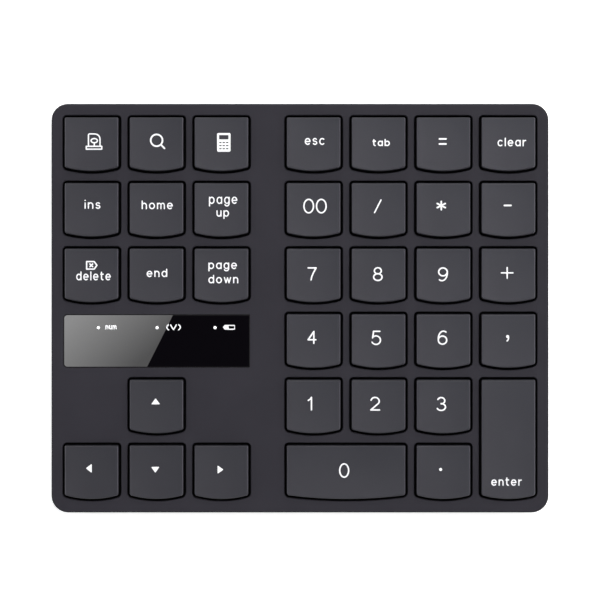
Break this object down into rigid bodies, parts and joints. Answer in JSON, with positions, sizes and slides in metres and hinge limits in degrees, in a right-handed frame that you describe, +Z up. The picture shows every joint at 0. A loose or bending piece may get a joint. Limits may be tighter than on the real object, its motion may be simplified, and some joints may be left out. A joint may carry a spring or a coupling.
{
  "type": "numeric keypad",
  "caption": "Slim wireless numeric keypad: a navigation key block, a number key block, a glossy indicator window and low scissor-switch keys with bowed front edges.",
  "frame": {"origin": "on the table, under the middle of the case's outline", "axes": "+X to the user's right, +Y to the rear, away from the user, +Z up out of the keys"},
  "size_m": [0.1458, 0.12, 0.0122],
  "materials": {
    "key_plastic": "fine satin moulding",
    "case_plastic": "fine satin moulding",
    "window": "polished smoked acrylic",
    "clear_plastic": "clear polycarbonate",
    "plate_steel": "zinc-plated sheet",
    "film": "black-printed polyester film",
    "silicone": "translucent silicone",
    "frame_plastic": "natural acetal",
    "wire_steel": "bright spring wire",
    "circuit_board": "solder mask",
    "chip_black": "moulded epoxy",
    "led_white": "diffused resin",
    "socket_white": "moulded nylon",
    "pouch": "laminated foil pouch",
    "lead_red": "insulated leads",
    "ribbon": "polyimide flat cable",
    "port_steel": "drawn nickel-plated shell",
    "switch_black": "moulded nylon",
    "screw_steel": "black-zinc machine screw",
    "foot_rubber": "soft silicone rubber",
    "legend_ink": "white pad-printed ink"
  },
  "bodies": {
    "case": {"top_frame": "case_plastic", "bottom_case": "case_plastic", "indicator_window": "window", "light_guide": "clear_plastic", "switch_plate": "plate_steel", "membrane_lower_film": "film", "membrane_spacer": "film", "membrane_upper_film": "film", "rubber_domes": "silicone", "scissor_outer_frames": "frame_plastic", "scissor_inner_frames": "frame_plastic", "stabiliser_wires": "wire_steel", "main_board": "circuit_board", "rear_board": "circuit_board", "board_chips": "chip_black", "board_connectors": "socket_white", "flat_cables": "ribbon", "indicator_leds": "led_white", "battery_cell": "pouch", "battery_leads": "lead_red", "charging_port": "port_steel", "power_switch_body": "switch_black", "case_screws": "screw_steel", "rubber_feet": "foot_rubber"},
    "power_slider": {"power_switch_slider": "switch_black"},
    "key_computer": {"keycap_computer": "key_plastic"},
    "key_search": {"keycap_search": "key_plastic"},
    "key_calculator": {"keycap_calculator": "key_plastic"},
    "key_escape": {"keycap_escape": "key_plastic"},
    "key_tab": {"keycap_tab": "key_plastic"},
    "key_equals": {"keycap_equals": "key_plastic"},
    "key_clear": {"keycap_clear": "key_plastic"},
    "key_insert": {"keycap_insert": "key_plastic"},
    "key_home": {"keycap_home": "key_plastic"},
    "key_page_up": {"keycap_page_up": "key_plastic"},
    "key_double_zero": {"keycap_double_zero": "key_plastic"},
    "key_divide": {"keycap_divide": "key_plastic"},
    "key_multiply": {"keycap_multiply": "key_plastic"},
    "key_minus": {"keycap_minus": "key_plastic"},
    "key_delete": {"keycap_delete": "key_plastic"},
    "key_end": {"keycap_end": "key_plastic"},
    "key_page_down": {"keycap_page_down": "key_plastic"},
    "key_7": {"keycap_7": "key_plastic"},
    "key_8": {"keycap_8": "key_plastic"},
    "key_9": {"keycap_9": "key_plastic"},
    "key_plus": {"keycap_plus": "key_plastic"},
    "key_4": {"keycap_4": "key_plastic"},
    "key_5": {"keycap_5": "key_plastic"},
    "key_6": {"keycap_6": "key_plastic"},
    "key_comma": {"keycap_comma": "key_plastic"},
    "key_arrow_up": {"keycap_arrow_up": "key_plastic"},
    "key_1": {"keycap_1": "key_plastic"},
    "key_2": {"keycap_2": "key_plastic"},
    "key_3": {"keycap_3": "key_plastic"},
    "key_enter": {"keycap_enter": "key_plastic"},
    "key_arrow_left": {"keycap_arrow_left": "key_plastic"},
    "key_arrow_down": {"keycap_arrow_down": "key_plastic"},
    "key_arrow_right": {"keycap_arrow_right": "key_plastic"},
    "key_0": {"keycap_0": "key_plastic"},
    "key_point": {"keycap_point": "key_plastic"}
  },
  "joints": [
    {"name": "slide_power_switch", "type": "slide", "parent": "case", "child": "power_slider", "axis": [1, 0, 0], "range_m": [0, 0.0022]},
    {"name": "press_computer", "type": "slide", "parent": "case", "child": "key_computer", "axis": [0, 0, -1], "range_m": [0, 0.0018], "stiffness_N_per_m": 200, "springref_m": -0.0015, "deforming": ["rubber_domes", "scissor_outer_frames", "scissor_inner_frames"]},
    {"name": "press_search", "type": "slide", "parent": "case", "child": "key_search", "axis": [0, 0, -1], "range_m": [0, 0.0018], "stiffness_N_per_m": 200, "springref_m": -0.0015, "deforming": ["rubber_domes", "scissor_outer_frames", "scissor_inner_frames"]},
    {"name": "press_calculator", "type": "slide", "parent": "case", "child": "key_calculator", "axis": [0, 0, -1], "range_m": [0, 0.0018], "stiffness_N_per_m": 200, "springref_m": -0.0015, "deforming": ["rubber_domes", "scissor_outer_frames", "scissor_inner_frames"]},
    {"name": "press_escape", "type": "slide", "parent": "case", "child": "key_escape", "axis": [0, 0, -1], "range_m": [0, 0.0018], "stiffness_N_per_m": 200, "springref_m": -0.0015, "deforming": ["rubber_domes", "scissor_outer_frames", "scissor_inner_frames"]},
    {"name": "press_tab", "type": "slide", "parent": "case", "child": "key_tab", "axis": [0, 0, -1], "range_m": [0, 0.0018], "stiffness_N_per_m": 200, "springref_m": -0.0015, "deforming": ["rubber_domes", "scissor_outer_frames", "scissor_inner_frames"]},
    {"name": "press_equals", "type": "slide", "parent": "case", "child": "key_equals", "axis": [0, 0, -1], "range_m": [0, 0.0018], "stiffness_N_per_m": 200, "springref_m": -0.0015, "deforming": ["rubber_domes", "scissor_outer_frames", "scissor_inner_frames"]},
    {"name": "press_clear", "type": "slide", "parent": "case", "child": "key_clear", "axis": [0, 0, -1], "range_m": [0, 0.0018], "stiffness_N_per_m": 200, "springref_m": -0.0015, "deforming": ["rubber_domes", "scissor_outer_frames", "scissor_inner_frames"]},
    {"name": "press_insert", "type": "slide", "parent": "case", "child": "key_insert", "axis": [0, 0, -1], "range_m": [0, 0.0018], "stiffness_N_per_m": 200, "springref_m": -0.0015, "deforming": ["rubber_domes", "scissor_outer_frames", "scissor_inner_frames"]},
    {"name": "press_home", "type": "slide", "parent": "case", "child": "key_home", "axis": [0, 0, -1], "range_m": [0, 0.0018], "stiffness_N_per_m": 200, "springref_m": -0.0015, "deforming": ["rubber_domes", "scissor_outer_frames", "scissor_inner_frames"]},
    {"name": "press_page_up", "type": "slide", "parent": "case", "child": "key_page_up", "axis": [0, 0, -1], "range_m": [0, 0.0018], "stiffness_N_per_m": 200, "springref_m": -0.0015, "deforming": ["rubber_domes", "scissor_outer_frames", "scissor_inner_frames"]},
    {"name": "press_double_zero", "type": "slide", "parent": "case", "child": "key_double_zero", "axis": [0, 0, -1], "range_m": [0, 0.0018], "stiffness_N_per_m": 200, "springref_m": -0.0015, "deforming": ["rubber_domes", "scissor_outer_frames", "scissor_inner_frames"]},
    {"name": "press_divide", "type": "slide", "parent": "case", "child": "key_divide", "axis": [0, 0, -1], "range_m": [0, 0.0018], "stiffness_N_per_m": 200, "springref_m": -0.0015, "deforming": ["rubber_domes", "scissor_outer_frames", "scissor_inner_frames"]},
    {"name": "press_multiply", "type": "slide", "parent": "case", "child": "key_multiply", "axis": [0, 0, -1], "range_m": [0, 0.0018], "stiffness_N_per_m": 200, "springref_m": -0.0015, "deforming": ["rubber_domes", "scissor_outer_frames", "scissor_inner_frames"]},
    {"name": "press_minus", "type": "slide", "parent": "case", "child": "key_minus", "axis": [0, 0, -1], "range_m": [0, 0.0018], "stiffness_N_per_m": 200, "springref_m": -0.0015, "deforming": ["rubber_domes", "scissor_outer_frames", "scissor_inner_frames"]},
    {"name": "press_delete", "type": "slide", "parent": "case", "child": "key_delete", "axis": [0, 0, -1], "range_m": [0, 0.0018], "stiffness_N_per_m": 200, "springref_m": -0.0015, "deforming": ["rubber_domes", "scissor_outer_frames", "scissor_inner_frames"]},
    {"name": "press_end", "type": "slide", "parent": "case", "child": "key_end", "axis": [0, 0, -1], "range_m": [0, 0.0018], "stiffness_N_per_m": 200, "springref_m": -0.0015, "deforming": ["rubber_domes", "scissor_outer_frames", "scissor_inner_frames"]},
    {"name": "press_page_down", "type": "slide", "parent": "case", "child": "key_page_down", "axis": [0, 0, -1], "range_m": [0, 0.0018], "stiffness_N_per_m": 200, "springref_m": -0.0015, "deforming": ["rubber_domes", "scissor_outer_frames", "scissor_inner_frames"]},
    {"name": "press_7", "type": "slide", "parent": "case", "child": "key_7", "axis": [0, 0, -1], "range_m": [0, 0.0018], "stiffness_N_per_m": 200, "springref_m": -0.0015, "deforming": ["rubber_domes", "scissor_outer_frames", "scissor_inner_frames"]},
    {"name": "press_8", "type": "slide", "parent": "case", "child": "key_8", "axis": [0, 0, -1], "range_m": [0, 0.0018], "stiffness_N_per_m": 200, "springref_m": -0.0015, "deforming": ["rubber_domes", "scissor_outer_frames", "scissor_inner_frames"]},
    {"name": "press_9", "type": "slide", "parent": "case", "child": "key_9", "axis": [0, 0, -1], "range_m": [0, 0.0018], "stiffness_N_per_m": 200, "springref_m": -0.0015, "deforming": ["rubber_domes", "scissor_outer_frames", "scissor_inner_frames"]},
    {"name": "press_plus", "type": "slide", "parent": "case", "child": "key_plus", "axis": [0, 0, -1], "range_m": [0, 0.0018], "stiffness_N_per_m": 200, "springref_m": -0.0015, "deforming": ["rubber_domes", "scissor_outer_frames", "scissor_inner_frames"]},
    {"name": "press_4", "type": "slide", "parent": "case", "child": "key_4", "axis": [0, 0, -1], "range_m": [0, 0.0018], "stiffness_N_per_m": 200, "springref_m": -0.0015, "deforming": ["rubber_domes", "scissor_outer_frames", "scissor_inner_frames"]},
    {"name": "press_5", "type": "slide", "parent": "case", "child": "key_5", "axis": [0, 0, -1], "range_m": [0, 0.0018], "stiffness_N_per_m": 200, "springref_m": -0.0015, "deforming": ["rubber_domes", "scissor_outer_frames", "scissor_inner_frames"]},
    {"name": "press_6", "type": "slide", "parent": "case", "child": "key_6", "axis": [0, 0, -1], "range_m": [0, 0.0018], "stiffness_N_per_m": 200, "springref_m": -0.0015, "deforming": ["rubber_domes", "scissor_outer_frames", "scissor_inner_frames"]},
    {"name": "press_comma", "type": "slide", "parent": "case", "child": "key_comma", "axis": [0, 0, -1], "range_m": [0, 0.0018], "stiffness_N_per_m": 200, "springref_m": -0.0015, "deforming": ["rubber_domes", "scissor_outer_frames", "scissor_inner_frames"]},
    {"name": "press_arrow_up", "type": "slide", "parent": "case", "child": "key_arrow_up", "axis": [0, 0, -1], "range_m": [0, 0.0018], "stiffness_N_per_m": 200, "springref_m": -0.0015, "deforming": ["rubber_domes", "scissor_outer_frames", "scissor_inner_frames"]},
    {"name": "press_1", "type": "slide", "parent": "case", "child": "key_1", "axis": [0, 0, -1], "range_m": [0, 0.0018], "stiffness_N_per_m": 200, "springref_m": -0.0015, "deforming": ["rubber_domes", "scissor_outer_frames", "scissor_inner_frames"]},
    {"name": "press_2", "type": "slide", "parent": "case", "child": "key_2", "axis": [0, 0, -1], "range_m": [0, 0.0018], "stiffness_N_per_m": 200, "springref_m": -0.0015, "deforming": ["rubber_domes", "scissor_outer_frames", "scissor_inner_frames"]},
    {"name": "press_3", "type": "slide", "parent": "case", "child": "key_3", "axis": [0, 0, -1], "range_m": [0, 0.0018], "stiffness_N_per_m": 200, "springref_m": -0.0015, "deforming": ["rubber_domes", "scissor_outer_frames", "scissor_inner_frames"]},
    {"name": "press_enter", "type": "slide", "parent": "case", "child": "key_enter", "axis": [0, 0, -1], "range_m": [0, 0.0018], "stiffness_N_per_m": 200, "springref_m": -0.0015, "deforming": ["rubber_domes", "scissor_outer_frames", "scissor_inner_frames", "stabiliser_wires"]},
    {"name": "press_arrow_left", "type": "slide", "parent": "case", "child": "key_arrow_left", "axis": [0, 0, -1], "range_m": [0, 0.0018], "stiffness_N_per_m": 200, "springref_m": -0.0015, "deforming": ["rubber_domes", "scissor_outer_frames", "scissor_inner_frames"]},
    {"name": "press_arrow_down", "type": "slide", "parent": "case", "child": "key_arrow_down", "axis": [0, 0, -1], "range_m": [0, 0.0018], "stiffness_N_per_m": 200, "springref_m": -0.0015, "deforming": ["rubber_domes", "scissor_outer_frames", "scissor_inner_frames"]},
    {"name": "press_arrow_right", "type": "slide", "parent": "case", "child": "key_arrow_right", "axis": [0, 0, -1], "range_m": [0, 0.0018], "stiffness_N_per_m": 200, "springref_m": -0.0015, "deforming": ["rubber_domes", "scissor_outer_frames", "scissor_inner_frames"]},
    {"name": "press_0", "type": "slide", "parent": "case", "child": "key_0", "axis": [0, 0, -1], "range_m": [0, 0.0018], "stiffness_N_per_m": 200, "springref_m": -0.0015, "deforming": ["rubber_domes", "scissor_outer_frames", "scissor_inner_frames", "stabiliser_wires"]},
    {"name": "press_point", "type": "slide", "parent": "case", "child": "key_point", "axis": [0, 0, -1], "range_m": [0, 0.0018], "stiffness_N_per_m": 200, "springref_m": -0.0015, "deforming": ["rubber_domes", "scissor_outer_frames", "scissor_inner_frames"]}
  ]
}
